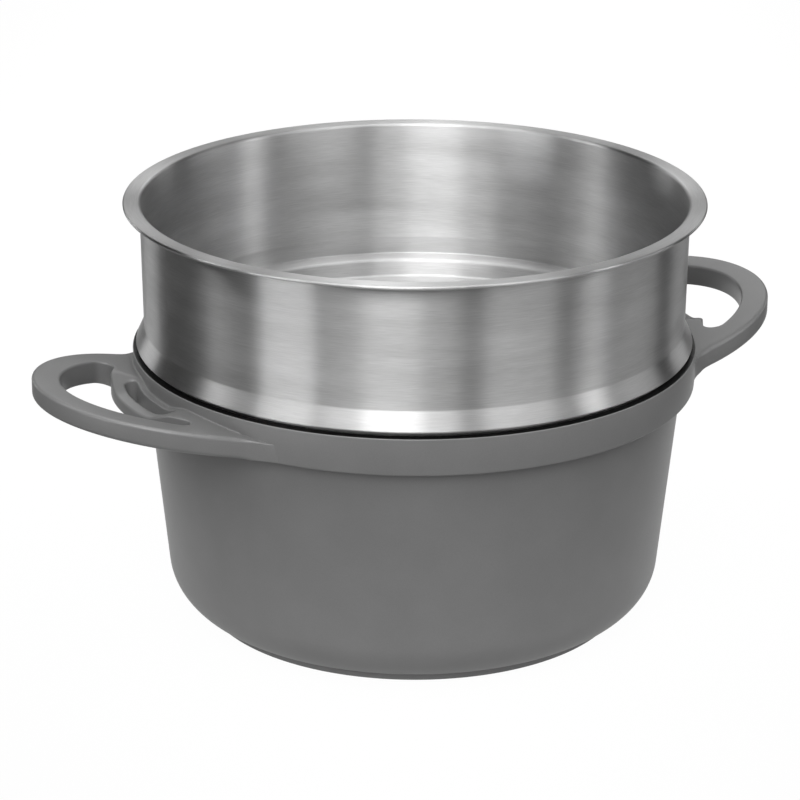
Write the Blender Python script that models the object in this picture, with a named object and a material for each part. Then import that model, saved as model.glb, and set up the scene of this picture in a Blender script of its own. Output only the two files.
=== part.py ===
"""Steamer pot: a cast aluminium pot with a perforated induction plate, and a drawn steel steamer insert."""

import math

import bmesh
import bpy
from mathutils import Matrix, Vector
from mathutils.geometry import delaunay_2d_cdt

MM = 0.001
SEGMENTS = 56
HANDLE_GRID = 8.0

# Rim band, millimetres: the widest ring of the pot, from which the other radii step in or out
BAND_RADIUS = 126.3
BAND_TAPER = 0.24
BAND_HEIGHT = 16.5
BAND_TOP_ROUND = 0.5
BAND_LOW_ROUND = 0.8
BAND_UNDER_FILLET = 2.0
BAND_STEP = 5.88
RIM_TOP = 123.7
BAND_BOTTOM = RIM_TOP - BAND_HEIGHT

# Body below the band: a slightly conical wall, a large corner and a flat foot ring
WALL_SLOPE = 0.10
WALL_FOOT_HEIGHT = 22.0
WALL_FOOT_RADIUS = BAND_RADIUS - BAND_STEP - WALL_SLOPE * (BAND_BOTTOM - WALL_FOOT_HEIGHT)
WALL_THICKNESS = 4.2
CORNER_RADIUS = 22.1
INNER_CORNER_RADIUS = 18.0
FLOOR_THICKNESS = 6.0
FOOT_INSET = 15.8
FOOT_RADIUS = WALL_FOOT_RADIUS - FOOT_INSET
FOOT_WIDTH = 4.6
FOOT_ROUND = 0.4
FOOT_RECESS = 0.6

# Mouth and conical seat, which take the lower wall and the ledge of the insert
RIM_WIDTH = 4.0
SEAT_WIDTH = 2.4
SEAT_SLOPE = 1.0 / 3.0
MOUTH_DEPTH = 11.4
MOUTH_ROUND = 0.8
MOUTH_LEAD = 3.3
SEAT_OUTER_RADIUS = BAND_RADIUS - RIM_WIDTH
MOUTH_RADIUS = SEAT_OUTER_RADIUS - SEAT_WIDTH
MOUTH_BOTTOM = RIM_TOP - MOUTH_DEPTH
POCKET_STEP = MOUTH_BOTTOM - MOUTH_LEAD

# Handle loops: the top face is a sloping, slightly crowned plane
HANDLE_DROP = 3.9
HANDLE_RISE = 0.2309
HANDLE_CROWN = 0.0007
HANDLE_THICKNESS = 9.2
HANDLE_BELLY = 3.9
HANDLE_TOP_AT_BAND = RIM_TOP - HANDLE_DROP
LOOP_SET_BACK = 8.5
LOOP_REACH = 62.6
LOOP_HALF_WIDTH = 60.45
LOOP_CENTRE_X = BAND_RADIUS - LOOP_SET_BACK
ROOT_FILLET = 24.0
ROOT_DEPTH = 5.2
ROOT_OVERLAP = 0.5
ROOT_TAPER = 5.0
ROOT_EDGE = 0.12
OUTER_ROUND = 1.8
INNER_ROUND = 1.0
BAND_BLEND = 0.8
BAND_CLEARANCE = 0.2

# Finger opening: a superellipse beside the loop, with a rounded corner by the web
ARM_AT_TIP = 11.75
ARM_AT_SIDE = 12.0
WINDOW_EXPONENT = 1.95
WINDOW_CORNER = 5.0
WINDOW_CORNER_OUT = 9.4
WEB_WIDTH = 15.0
WEB_EDGE_RADIUS = 84.0
WEB_EDGE_X = BAND_RADIUS + WEB_WIDTH

# Dish in the web between the arms: it widens and its flanks soften away from the band
DISH_DROP = 3.35
DISH_HALF_WIDTH = 17.0
DISH_FAN = 0.81
DISH_RAMP = 8.0
DISH_RAMP_FAN = 0.5
DISH_REACH = 13.0
DISH_END = 4.0
DISH_LEVEL = HANDLE_TOP_AT_BAND - DISH_DROP

# Slot through the web
SLOT_SET_OFF = 2.9
SLOT_WIDTH = 6.1
SLOT_OUTER_RADIUS = 105.0
SLOT_HALF_LENGTH = 22.3
SLOT_END_ROUND = 2.2
SLOT_INNER_RADIUS = BAND_RADIUS + SLOT_SET_OFF
SLOT_OUTER_X = SLOT_INNER_RADIUS + SLOT_WIDTH

# Induction plate and the studs of the casting that hold it
PLATE_MARGIN = 11.3
PLATE_THICKNESS = 1.4
PLATE_BOTTOM = 0.5
PLATE_GAP = 0.3
PLATE_RADIUS = FOOT_RADIUS - FOOT_WIDTH - PLATE_MARGIN
STUD_RADIUS = 3.2
STUD_PITCH = 21.6
STUD_MARGIN = 11.0
STUD_SIDES = 8

# Steamer insert: flange with a rolled hem, wall, flare, shoulder, ledge and lower wall
SHEET = 0.7
SEAT_GAP = 0.3
MOUTH_CLEARANCE = 0.75
INSERT_DEPTH = 9.5
LOWER_WALL_ROUND = 1.9
LOWER_WALL_RADIUS = MOUTH_RADIUS - MOUTH_CLEARANCE
INSERT_FLOOR = RIM_TOP - INSERT_DEPTH
SHOULDER_OVERHANG = 2.8
SHOULDER_HEIGHT = 2.3
SHOULDER_ROUND = 0.75
SHOULDER_RADIUS = SEAT_OUTER_RADIUS + SHOULDER_OVERHANG
SHOULDER_EDGE = RIM_TOP + SHOULDER_HEIGHT
FLARE_WIDTH = 4.04
FLARE_RADIUS = 12.5
WALL_DRAFT = 0.72
INSERT_WALL_FOOT_RADIUS = SHOULDER_RADIUS - FLARE_WIDTH
INSERT_WALL_TOP_RADIUS = INSERT_WALL_FOOT_RADIUS + WALL_DRAFT
FLANGE_HEIGHT = 67.2
FLANGE_WIDTH = 7.35
FLANGE_BEND = 1.5
HEM_THICKNESS = 1.6
HEM_WIDTH = 2.8
FLANGE_TOP = RIM_TOP + FLANGE_HEIGHT
FLANGE_RADIUS = INSERT_WALL_TOP_RADIUS + FLANGE_WIDTH
HOLE_RADIUS = 4.8
HOLE_PITCH = 21.5
HOLE_MARGIN = 15.0
HOLE_SIDES = 8


def arc(centre_r, centre_z, radius, start, end, count):
    """Points on a circle arc, angles in degrees from the outward direction, counted upwards."""
    found = []
    for i in range(count + 1):
        a = math.radians(start + (end - start) * i / count)
        found.append((centre_r + radius * math.cos(a), centre_z + radius * math.sin(a)))
    return found


def new_object(name, bm, material):
    bmesh.ops.recalc_face_normals(bm, faces=bm.faces)
    if bm.calc_volume(signed=True) < 0:
        bmesh.ops.reverse_faces(bm, faces=bm.faces)
    mesh = bpy.data.meshes.new(name)
    bm.to_mesh(mesh)
    bm.free()
    obj = bpy.data.objects.new(name, mesh)
    bpy.context.scene.collection.objects.link(obj)
    if material is not None:
        mesh.materials.append(material)
    return obj


def revolve(profile):
    """A closed solid of revolution: the closed profile of (radius, height) is spun round the axis."""
    bm = bmesh.new()
    corners = [bm.verts.new((radius * MM, 0.0, height * MM)) for radius, height in profile]
    edges = []
    for a, b in zip(corners, corners[1:] + corners[:1]):
        if a.co.x > 1e-9 or b.co.x > 1e-9:
            edges.append(bm.edges.new((a, b)))
    bmesh.ops.spin(bm, geom=corners + edges, axis=(0, 0, 1), cent=(0, 0, 0), angle=2 * math.pi,
                   steps=SEGMENTS, use_merge=True)
    bmesh.ops.remove_doubles(bm, verts=bm.verts, dist=1e-7)
    return bm


def pins(places, radius, sides, low, high):
    """Upright polygonal pins at the given places, as one mesh of separate closed pieces."""
    bm = bmesh.new()
    for x, y, turn in places:
        place = Matrix.Translation((x * MM, y * MM, (low + high) / 2 * MM)) @ Matrix.Rotation(turn, 4, "Z")
        bmesh.ops.create_cone(bm, cap_ends=True, segments=sides, radius1=radius * MM, radius2=radius * MM,
                              depth=(high - low) * MM, matrix=place)
    return bm


def ring_places(pitch, limit, centre):
    """Places in rings of six more each, one pitch apart, as far out as the limit radius."""
    found = [(0.0, 0.0, 0.0)] if centre else []
    for ring in range(1, int(limit / pitch) + 1):
        radius = ring * pitch
        for i in range(6 * ring):
            a = 2 * math.pi * i / (6 * ring)
            found.append((radius * math.cos(a), radius * math.sin(a), a))
    return found


def boolean(obj, other, operation):
    modifier = obj.modifiers.new(other.name, "BOOLEAN")
    modifier.object = other
    modifier.operation = operation
    modifier.solver = "EXACT"
    other.hide_render = True
    other.display_type = "WIRE"


def wall_radius(height):
    return WALL_FOOT_RADIUS + WALL_SLOPE * (height - WALL_FOOT_HEIGHT)


def casting_profile():
    """Down the outer side from the rim to the foot, across the base, and up the inner side."""
    tilt = math.degrees(math.atan(WALL_SLOPE))
    reach = math.cos(math.radians(tilt))
    corner_r = WALL_FOOT_RADIUS - CORNER_RADIUS * reach
    corner_z = WALL_FOOT_HEIGHT + CORNER_RADIUS * math.sin(math.radians(tilt))
    foot_angle = -math.degrees(math.acos((FOOT_RADIUS - corner_r) / CORNER_RADIUS))
    inner_r = WALL_FOOT_RADIUS - WALL_THICKNESS - INNER_CORNER_RADIUS * reach
    inner_z = FLOOR_THICKNESS + INNER_CORNER_RADIUS
    band_low = BAND_RADIUS - BAND_TAPER
    fillet_z = BAND_BOTTOM - BAND_UNDER_FILLET
    fillet_r = wall_radius(fillet_z) + BAND_UNDER_FILLET
    pocket = PLATE_RADIUS + PLATE_GAP
    pocket_top = PLATE_BOTTOM + PLATE_THICKNESS + PLATE_GAP
    seat_drop = SEAT_WIDTH * SEAT_SLOPE
    inner_wall = wall_radius(POCKET_STEP) - WALL_THICKNESS
    points = arc(BAND_RADIUS - BAND_TOP_ROUND, RIM_TOP - BAND_TOP_ROUND, BAND_TOP_ROUND, 90.0, 0.0, 2)
    points += arc(band_low - BAND_LOW_ROUND, BAND_BOTTOM + BAND_LOW_ROUND, BAND_LOW_ROUND, 0.0, -90.0, 2)
    points += arc(fillet_r, fillet_z, BAND_UNDER_FILLET, 90.0, 180.0, 3)
    points += arc(corner_r, corner_z, CORNER_RADIUS, -tilt, foot_angle, 6)
    points += arc(FOOT_RADIUS - FOOT_ROUND, FOOT_ROUND, FOOT_ROUND, 0.0, -90.0, 1)
    points += [
        (FOOT_RADIUS - FOOT_WIDTH, 0.0),
        (FOOT_RADIUS - FOOT_WIDTH - FOOT_RECESS / 2, FOOT_RECESS),
        (pocket, FOOT_RECESS),
        (pocket, pocket_top),
        (0.0, pocket_top),
        (0.0, FLOOR_THICKNESS),
    ]
    points += arc(inner_r, inner_z, INNER_CORNER_RADIUS, -90.0, -tilt, 5)
    points += [
        (inner_wall, POCKET_STEP),
        (inner_wall + MOUTH_ROUND, POCKET_STEP + 2 * MOUTH_ROUND),
        (MOUTH_RADIUS - MOUTH_ROUND, MOUTH_BOTTOM - MOUTH_ROUND / 2),
        (MOUTH_RADIUS, MOUTH_BOTTOM + MOUTH_ROUND / 2),
        (MOUTH_RADIUS, RIM_TOP - seat_drop),
        (SEAT_OUTER_RADIUS, RIM_TOP),
    ]
    return points


def plane_height(x):
    out = x - BAND_RADIUS
    return HANDLE_TOP_AT_BAND + HANDLE_RISE * out - HANDLE_CROWN * out * out


def smooth_step(t):
    t = min(1.0, max(0.0, t))
    return t * t * (3.0 - 2.0 * t)


def blend(x, y):
    """How far the handle faces turn into the band wall: a quarter round of BAND_BLEND."""
    out = math.hypot(x, y) - BAND_RADIUS + 0.1
    if out >= BAND_BLEND:
        return 0.0
    out = max(0.0, out)
    return BAND_BLEND - math.sqrt(BAND_BLEND**2 - (BAND_BLEND - out) ** 2)


def top_height(x, y):
    """Top face of a handle: the loop plane, dished between the arms, turned up against the band."""
    level = plane_height(x)
    if x > WEB_EDGE_X + DISH_END:
        return level
    out = min(DISH_REACH, max(0.0, x - BAND_RADIUS))
    middle = DISH_HALF_WIDTH + DISH_FAN * out
    ramp = DISH_RAMP + DISH_RAMP_FAN * out
    depth = 1.0 - smooth_step((abs(y) - middle + ramp) / (2.0 * ramp))
    return level - (level - DISH_LEVEL) * depth + blend(x, y)


def bottom_height(x, y):
    """Underside of a handle: bellied towards the web, kept above the lower edge of the band."""
    out = ((x - LOOP_CENTRE_X) / LOOP_REACH) ** 2
    belly = HANDLE_BELLY * max(0.0, 1.0 - out) * max(0.0, 1.0 - out - (y / LOOP_HALF_WIDTH) ** 2)
    return max(plane_height(x) - HANDLE_THICKNESS - belly - blend(x, y), BAND_BOTTOM + BAND_CLEARANCE)


def root_share(x, y):
    """How much of an outline's edge round is left: it runs out where the outline meets the band."""
    return max(ROOT_EDGE, min(1.0, (math.hypot(x, y) - BAND_RADIUS) / ROOT_TAPER))


def loop_outline():
    """Half of the handle's outer outline, from the tip to its root inside the band, y upwards."""
    meet = BAND_RADIUS - ROOT_OVERLAP
    centre_y = LOOP_HALF_WIDTH + ROOT_FILLET
    centre_x = math.sqrt((meet + ROOT_FILLET) ** 2 - centre_y**2)
    points = []
    for i in range(15):
        a = math.pi / 2 * i / 15
        points.append((LOOP_CENTRE_X + LOOP_REACH * math.cos(a), LOOP_HALF_WIDTH * math.sin(a)))
    points = [p for p in points if p[0] > centre_x]
    end = math.degrees(math.atan2(-centre_y, -centre_x))
    points += arc(centre_x, centre_y, ROOT_FILLET, -90.0, end, 6)
    edge = math.atan2(centre_y, centre_x)
    inside = BAND_RADIUS - ROOT_DEPTH
    points.append((inside * math.cos(edge), inside * math.sin(edge)))
    for k in range(1, 4):
        a = edge * (1 - k / 4)
        points.append((inside * math.cos(a), inside * math.sin(a)))
    return points, inside


def mirrored(half, closing=None):
    """A closed outline from its upper half, which starts on the x axis."""
    whole = list(half)
    if closing is not None:
        whole.append(closing)
    start = 1 if abs(half[0][1]) < 1e-9 else 0
    return whole + [(x, -y) for x, y in reversed(half[start:])]


def window_outline():
    """The finger opening: a superellipse beside the loop, a rounded corner, and the edge of the web."""
    reach = LOOP_REACH - ARM_AT_TIP
    half = LOOP_HALF_WIDTH - ARM_AT_SIDE
    power = 2.0 / WINDOW_EXPONENT

    def side(t):
        return Vector((LOOP_CENTRE_X + reach * math.cos(t) ** power, half * math.sin(t) ** power))

    def corner_centre(t):
        along = side(t + 0.001) - side(t - 0.001)
        return side(t) + Vector((-along.y, along.x)).normalized() * WINDOW_CORNER

    # The corner's circle touches the superellipse: halve the span in which its centre passes its place
    low, high = 0.1, 1.5
    for _ in range(40):
        middle = (low + high) / 2
        if corner_centre(middle).x > BAND_RADIUS + WINDOW_CORNER_OUT:
            low = middle
        else:
            high = middle
    centre = corner_centre(low)
    touch = side(low) - centre
    start = math.degrees(math.atan2(touch.y, touch.x))
    points = [tuple(side(low * i / 8)) for i in range(8)]
    points += arc(centre.x, centre.y, WINDOW_CORNER, start, 207.0, 5)
    web_centre = WEB_EDGE_X - WEB_EDGE_RADIUS
    web_end = centre.y - 1.7 * WINDOW_CORNER
    for k in range(5):
        y = web_end * (1 - k / 5)
        points.append((web_centre + math.sqrt(WEB_EDGE_RADIUS**2 - y * y), y))
    return mirrored(points, (WEB_EDGE_X, 0.0))


def slot_outline():
    """The slot through the web, concentric with the rim on its inner side."""
    r = SLOT_END_ROUND
    centre = SLOT_OUTER_X - SLOT_OUTER_RADIUS
    end = SLOT_HALF_LENGTH - r
    outer = []
    for k in range(6):
        y = end * k / 5
        outer.append((centre + math.sqrt(SLOT_OUTER_RADIUS**2 - y * y), y))
    inner = []
    for k in range(5):
        y = end * (1 - k / 5)
        inner.append((math.sqrt(SLOT_INNER_RADIUS**2 - y * y), y))
    mid_x = (outer[-1][0] + inner[0][0]) / 2
    half = (outer[-1][0] - inner[0][0]) / 2
    cap = []
    for k in range(1, 4):
        a = math.pi * k / 4
        cap.append((mid_x + half * math.cos(a), end + r * math.sin(a)))
    return mirrored(outer + cap + inner, (SLOT_INNER_RADIUS, 0.0))


def offset(loop, distances):
    """The loop moved towards its left side by one distance per point, at mean normals."""
    moved = []
    count = len(loop)
    for i, (x, y) in enumerate(loop):
        ax, ay = loop[i - 1]
        bx, by = loop[(i + 1) % count]
        one = Vector((y - ay, ax - x)).normalized()
        two = Vector((by - y, x - bx)).normalized()
        normal = (one + two).normalized()
        stretch = distances[i] / max(0.5, normal.dot(one))
        moved.append((x - normal.x * stretch, y - normal.y * stretch))
    return moved


def inside(point, loop):
    x, y = point
    found = False
    for i, (bx, by) in enumerate(loop):
        ax, ay = loop[i - 1]
        if (ay > y) != (by > y) and x < (bx - ax) * (y - ay) / (by - ay) + ax:
            found = not found
    return found


def nearest(point, loops):
    best = 1e9
    for loop in loops:
        for i in range(len(loop)):
            a = Vector(loop[i - 1])
            d = Vector(loop[i]) - a
            t = max(0.0, min(1.0, (Vector(point) - a).dot(d) / d.length_squared))
            best = min(best, (a + d * t - Vector(point)).length)
    return best


def sheet(loops, spacing):
    """Triangles over the region inside the first loop and outside the others, with grid points."""
    points = [Vector(p) for loop in loops for p in loop]
    edges = []
    start = 0
    for loop in loops:
        edges += [(start + i, start + (i + 1) % len(loop)) for i in range(len(loop))]
        start += len(loop)
    low_x = min(x for x, y in loops[0])
    columns = int((max(x for x, y in loops[0]) - low_x) / spacing)
    rows = int(max(y for x, y in loops[0]) / spacing)
    for column in range(columns + 1):
        for row in range(-rows, rows + 1):
            p = (low_x + (column + 0.5) * spacing, row * spacing)
            ok = inside(p, loops[0]) and not any(inside(p, h) for h in loops[1:])
            if ok and nearest(p, loops) > 0.45 * spacing:
                points.append(Vector(p))
    verts, _, faces, origins, _, _ = delaunay_2d_cdt(points, edges, [], 0, 1e-5)
    kept = []
    for face in faces:
        middle = sum((verts[i] for i in face), Vector((0, 0))) / len(face)
        if inside(middle, loops[0]) and not any(inside(middle, h) for h in loops[1:]):
            kept.append([origins[i][0] for i in face])
    return points, kept


def handle(spacing):
    """One handle as a closed mesh: two sheets joined by rounded rims round the outline and both openings."""
    half, root = loop_outline()
    loops = [mirrored(half, (root, 0.0)), window_outline()[::-1], slot_outline()[::-1]]
    rounds = [OUTER_ROUND, INNER_ROUND, INNER_ROUND]
    steps = (0.0, 45.0, 90.0)
    bm = bmesh.new()
    rims = []
    inset_loops = []
    for loop, largest in zip(loops, rounds):
        radii = [largest * root_share(x, y) for x, y in loop]
        rings = []
        for side in (1, -1):
            angles = steps[::-1] if side > 0 else steps
            for angle in angles:
                a = math.radians(angle)
                moved = offset(loop, [radius * (1 - math.cos(a)) for radius in radii])
                ring = []
                for (px, py), radius in zip(moved, radii):
                    drop = radius * (1 - math.sin(a))
                    if side > 0:
                        z = top_height(px, py) - drop
                    else:
                        z = bottom_height(px, py) + drop
                    ring.append(bm.verts.new((px * MM, py * MM, z * MM)))
                rings.append(ring)
                if angle == 90.0 and side > 0:
                    inset_loops.append(moved)
        rims.append(rings)
    for rings in rims:
        for a, b in zip(rings, rings[1:]):
            for i in range(len(a)):
                j = (i + 1) % len(a)
                bm.faces.new((a[i], b[i], b[j], a[j]))
    points, triangles = sheet(inset_loops, spacing)
    fixed_top = [v for rings in rims for v in rings[0]]
    fixed_low = [v for rings in rims for v in rings[-1]]
    for fixed, height in ((fixed_top, top_height), (fixed_low, bottom_height)):
        verts = list(fixed)
        for p in points[len(fixed):]:
            verts.append(bm.verts.new((p.x * MM, p.y * MM, height(p.x, p.y) * MM)))
        for triangle in triangles:
            bm.faces.new([verts[i] for i in triangle])
    return bm


def turned(bm, angle):
    c = math.cos(angle)
    s = math.sin(angle)
    for v in bm.verts:
        x, y = v.co.x, v.co.y
        v.co.x = c * x - s * y
        v.co.y = s * x + c * y
    return bm


def insert_profile():
    """Down the outer side from the flange to the floor, and back up the inner side."""
    under = FLANGE_TOP - SHEET
    hem = HEM_THICKNESS / 2
    hem_end = FLANGE_RADIUS - HEM_WIDTH
    bend_r = INSERT_WALL_TOP_RADIUS + FLANGE_BEND
    bend_z = under - FLANGE_BEND
    flare_r = INSERT_WALL_FOOT_RADIUS + FLARE_RADIUS
    flare_angle = math.acos(1.0 - (FLARE_WIDTH - SHOULDER_ROUND / 2) / FLARE_RADIUS)
    flare_end = 180.0 + math.degrees(flare_angle)
    flare_z = SHOULDER_EDGE + SHOULDER_ROUND * 1.5 + FLARE_RADIUS * math.sin(flare_angle)
    edge = SHOULDER_RADIUS
    upper = SHEET * math.hypot(1.0, SEAT_SLOPE)
    low_in = LOWER_WALL_RADIUS - SHEET
    low_round = LOWER_WALL_ROUND - SHEET

    def ledge(radius):
        return RIM_TOP + SEAT_GAP + (radius - SEAT_OUTER_RADIUS) * SEAT_SLOPE

    points = arc(FLANGE_RADIUS - hem, FLANGE_TOP - hem, hem, 90.0, -90.0, 4)
    points += [(hem_end, FLANGE_TOP - HEM_THICKNESS), (hem_end - hem / 4, under)]
    points += arc(bend_r, bend_z, FLANGE_BEND, 90.0, 180.0, 2)
    points += arc(flare_r, flare_z, FLARE_RADIUS, 180.0, flare_end, 3)
    points += [
        (edge, SHOULDER_EDGE),
        (edge - SHOULDER_ROUND / 5, SHOULDER_EDGE - SHOULDER_ROUND),
        (edge - SHOULDER_ROUND, ledge(edge - SHOULDER_ROUND)),
        (LOWER_WALL_RADIUS + SHEET, ledge(LOWER_WALL_RADIUS + SHEET)),
        (LOWER_WALL_RADIUS + SHEET / 4, ledge(LOWER_WALL_RADIUS) - SHEET / 2),
        (LOWER_WALL_RADIUS, ledge(LOWER_WALL_RADIUS) - SHEET * 1.4),
    ]
    points += arc(LOWER_WALL_RADIUS - LOWER_WALL_ROUND, INSERT_FLOOR + LOWER_WALL_ROUND, LOWER_WALL_ROUND,
                  0.0, -90.0, 2)
    points += [(0.0, INSERT_FLOOR), (0.0, INSERT_FLOOR + SHEET)]
    points += arc(low_in - low_round, INSERT_FLOOR + SHEET + low_round, low_round, -90.0, 0.0, 2)
    points += [
        (low_in, ledge(LOWER_WALL_RADIUS) + upper - 2 * SHEET),
        (low_in + SHEET / 2, ledge(LOWER_WALL_RADIUS) + upper - SHEET / 2),
        (low_in + SHEET * 1.5, ledge(low_in + SHEET * 1.5) + upper),
        (edge - SHOULDER_ROUND - SHEET, ledge(edge - SHOULDER_ROUND - SHEET) + upper),
        (edge - SHOULDER_ROUND, SHOULDER_EDGE - SHOULDER_ROUND / 5),
    ]
    points += arc(flare_r, flare_z, FLARE_RADIUS + SHEET, flare_end, 180.0, 3)
    points += arc(bend_r, bend_z, FLANGE_BEND + SHEET, 180.0, 90.0, 2)
    return points


def material(name, colour, metallic, roughness):
    made = bpy.data.materials.new(name)
    made.use_nodes = True
    shader = made.node_tree.nodes["Principled BSDF"]
    shader.inputs["Base Color"].default_value = (*colour, 1.0)
    shader.inputs["Metallic"].default_value = metallic
    shader.inputs["Roughness"].default_value = roughness
    return made


def smooth(obj, angle=32.0):
    for polygon in obj.data.polygons:
        polygon.use_smooth = True
    for edge in obj.data.edges:
        edge.use_edge_sharp = False
    bm = bmesh.new()
    bm.from_mesh(obj.data)
    for edge in bm.edges:
        if len(edge.link_faces) == 2 and edge.calc_face_angle(0.0) > math.radians(angle):
            edge.smooth = False
    bm.to_mesh(obj.data)
    bm.free()


def main():
    for obj in list(bpy.data.objects):
        bpy.data.objects.remove(obj, do_unlink=True)

    grey = material("satin_grey_cast_aluminium", (0.16, 0.16, 0.165), 0.6, 0.45)
    steel = material("brushed_stainless_steel", (0.62, 0.62, 0.62), 1.0, 0.3)
    iron = material("ferritic_steel_plate", (0.42, 0.41, 0.40), 1.0, 0.42)

    # The casting: body, both handles and the studs under the base, joined into one solid
    casting = new_object("pot_casting", revolve(casting_profile()), grey)
    for name, angle in (("handle_right_form", 0.0), ("handle_left_form", math.pi)):
        boolean(casting, new_object(name, turned(handle(HANDLE_GRID), angle), grey), "UNION")
    studs = ring_places(STUD_PITCH, PLATE_RADIUS - STUD_MARGIN, False)
    stud_top = PLATE_BOTTOM + PLATE_THICKNESS + 2 * PLATE_GAP
    forms = pins(studs, STUD_RADIUS, STUD_SIDES, FOOT_RECESS, stud_top)
    boolean(casting, new_object("stud_forms", forms, grey), "UNION")

    # The plate lies in its pocket with a small gap all round, and round each stud
    top = PLATE_BOTTOM + PLATE_THICKNESS
    disc = [(PLATE_RADIUS, top), (PLATE_RADIUS, PLATE_BOTTOM), (0.0, PLATE_BOTTOM), (0.0, top)]
    plate = new_object("induction_plate", revolve(disc), iron)
    holes = pins(studs, STUD_RADIUS + PLATE_GAP, STUD_SIDES, PLATE_BOTTOM - 1.0, top + 1.0)
    boolean(plate, new_object("stud_holes", holes, iron), "DIFFERENCE")

    # The insert: one drawn shell, its floor pierced in rings
    insert = new_object("steamer_insert", revolve(insert_profile()), steel)
    places = ring_places(HOLE_PITCH, LOWER_WALL_RADIUS - LOWER_WALL_ROUND - HOLE_MARGIN, True)
    holes = pins(places, HOLE_RADIUS, HOLE_SIDES, INSERT_FLOOR - SHEET, INSERT_FLOOR + 2 * SHEET)
    boolean(insert, new_object("steam_holes", holes, steel), "DIFFERENCE")

    for obj in (casting, plate, insert):
        smooth(obj)


main()
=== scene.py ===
# %% [markdown]
# # A steamer pot
# A cast aluminium casserole with two loop handles carries a drawn stainless steel steamer insert.
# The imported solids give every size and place. This script makes the fine surface over them, in
# three pieces: the casting, the steel disc in its base and the steamer insert.

# %% Load the frame
import math

import bmesh
import bpy
from mathutils import Matrix, Vector, kdtree
from mathutils.geometry import delaunay_2d_cdt


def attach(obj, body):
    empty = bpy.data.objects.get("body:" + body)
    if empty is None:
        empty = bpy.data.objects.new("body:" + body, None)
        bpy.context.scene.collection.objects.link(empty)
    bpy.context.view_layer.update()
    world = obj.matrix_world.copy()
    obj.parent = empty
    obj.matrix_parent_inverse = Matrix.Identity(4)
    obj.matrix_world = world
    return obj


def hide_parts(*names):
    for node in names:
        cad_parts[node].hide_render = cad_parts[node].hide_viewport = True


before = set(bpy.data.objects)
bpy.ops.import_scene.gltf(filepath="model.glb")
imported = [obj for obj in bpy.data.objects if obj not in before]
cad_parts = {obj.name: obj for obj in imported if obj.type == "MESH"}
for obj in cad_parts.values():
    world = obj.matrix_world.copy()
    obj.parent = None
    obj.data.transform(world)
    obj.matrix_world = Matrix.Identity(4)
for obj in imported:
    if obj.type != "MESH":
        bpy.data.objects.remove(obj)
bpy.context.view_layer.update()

MM = 0.001

# %% [markdown]
# ## The camera
# The photograph was taken with a long lens from a little above the rim. Such a view is easiest to
# set by what it looks at: a target, a distance, and how far the camera is turned, raised and
# rolled. A look-at constraint would do the same, but a product of matrices says it in one line.

# %% Camera
VIEW_TARGET = Vector((-0.0063, 0.0, 0.09438))
VIEW_DISTANCE = 1.418
VIEW_PITCH = math.radians(20.33)
VIEW_TURN = math.radians(28.97)
VIEW_ROLL = math.radians(0.198)
VIEW_LENS = 140.71
SENSOR = 36.0

camera_data = bpy.data.cameras.new("camera")
camera_data.lens = VIEW_LENS
camera_data.sensor_width = SENSOR
camera = bpy.data.objects.new("camera", camera_data)
bpy.context.scene.collection.objects.link(camera)
camera.matrix_world = (
    Matrix.Rotation(-VIEW_TURN, 4, "Z")
    @ Matrix.Translation(VIEW_TARGET)
    @ Matrix.Rotation(math.pi / 2 - VIEW_PITCH, 4, "X")
    @ Matrix.Rotation(VIEW_ROLL, 4, "Z")
    @ Matrix.Translation((0.0, 0.0, VIEW_DISTANCE))
)
bpy.context.scene.camera = camera
bpy.context.scene.view_settings.view_transform = "Standard"
print("camera at", [round(v, 3) for v in camera.matrix_world.translation])

# %% [markdown]
# ## Helpers for turned pieces
# Both the pot and the insert are turned shapes, so most of the work is a good profile: a few
# straight runs, with arcs where the real piece is rounded. The spin operator turns the profile
# into a skin, and closes the seam when it is told to merge.

# %% Turning helpers
TURN_STEPS = 192
CREASE = 40.0


def arc(centre_r, centre_z, radius, start, end, count):
    """Points on a circle arc, angles in degrees from the outward direction, counted upwards."""
    found = []
    for i in range(count + 1):
        a = math.radians(start + (end - start) * i / count)
        found.append((centre_r + radius * math.cos(a), centre_z + radius * math.sin(a)))
    return found


def turn(profile, steps=TURN_STEPS):
    """A closed skin from a closed profile of (radius, height) in millimetres."""
    bm = bmesh.new()
    corners = [bm.verts.new((r * MM, 0.0, z * MM)) for r, z in profile]
    edges = []
    for a, b in zip(corners, corners[1:] + corners[:1]):
        if a.co.x > 1e-9 or b.co.x > 1e-9:
            edges.append(bm.edges.new((a, b)))
    bmesh.ops.spin(bm, geom=corners + edges, axis=(0, 0, 1), cent=(0, 0, 0), angle=2 * math.pi,
                   steps=steps, use_merge=True)
    bmesh.ops.remove_doubles(bm, verts=bm.verts, dist=1e-7)
    bmesh.ops.recalc_face_normals(bm, faces=bm.faces)
    return bm


def into_object(bm, name, materials):
    """A finished piece at the origin, shaded smooth except over edges sharper than CREASE."""
    mesh = bpy.data.meshes.new(name)
    bm.to_mesh(mesh)
    bm.free()
    for made in materials:
        mesh.materials.append(made)
    mesh.shade_smooth()
    mesh.set_sharp_from_angle(angle=math.radians(CREASE))
    obj = bpy.data.objects.new(name, mesh)
    bpy.context.scene.collection.objects.link(obj)
    size = [round((max(v.co[k] for v in mesh.vertices) - min(v.co[k] for v in mesh.vertices)) / MM, 1)
            for k in range(3)]
    print(name, "has", len(mesh.polygons), "faces and measures", size, "mm")
    return obj


# %% [markdown]
# ## Helpers for materials
# Colours are written as the hex values that a paint chart or a picture editor shows. Blender
# shades in linear light, so one function turns them. A second one adds a node, with its
# settings, its values and its links in one call, which keeps each material short to read.

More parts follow.
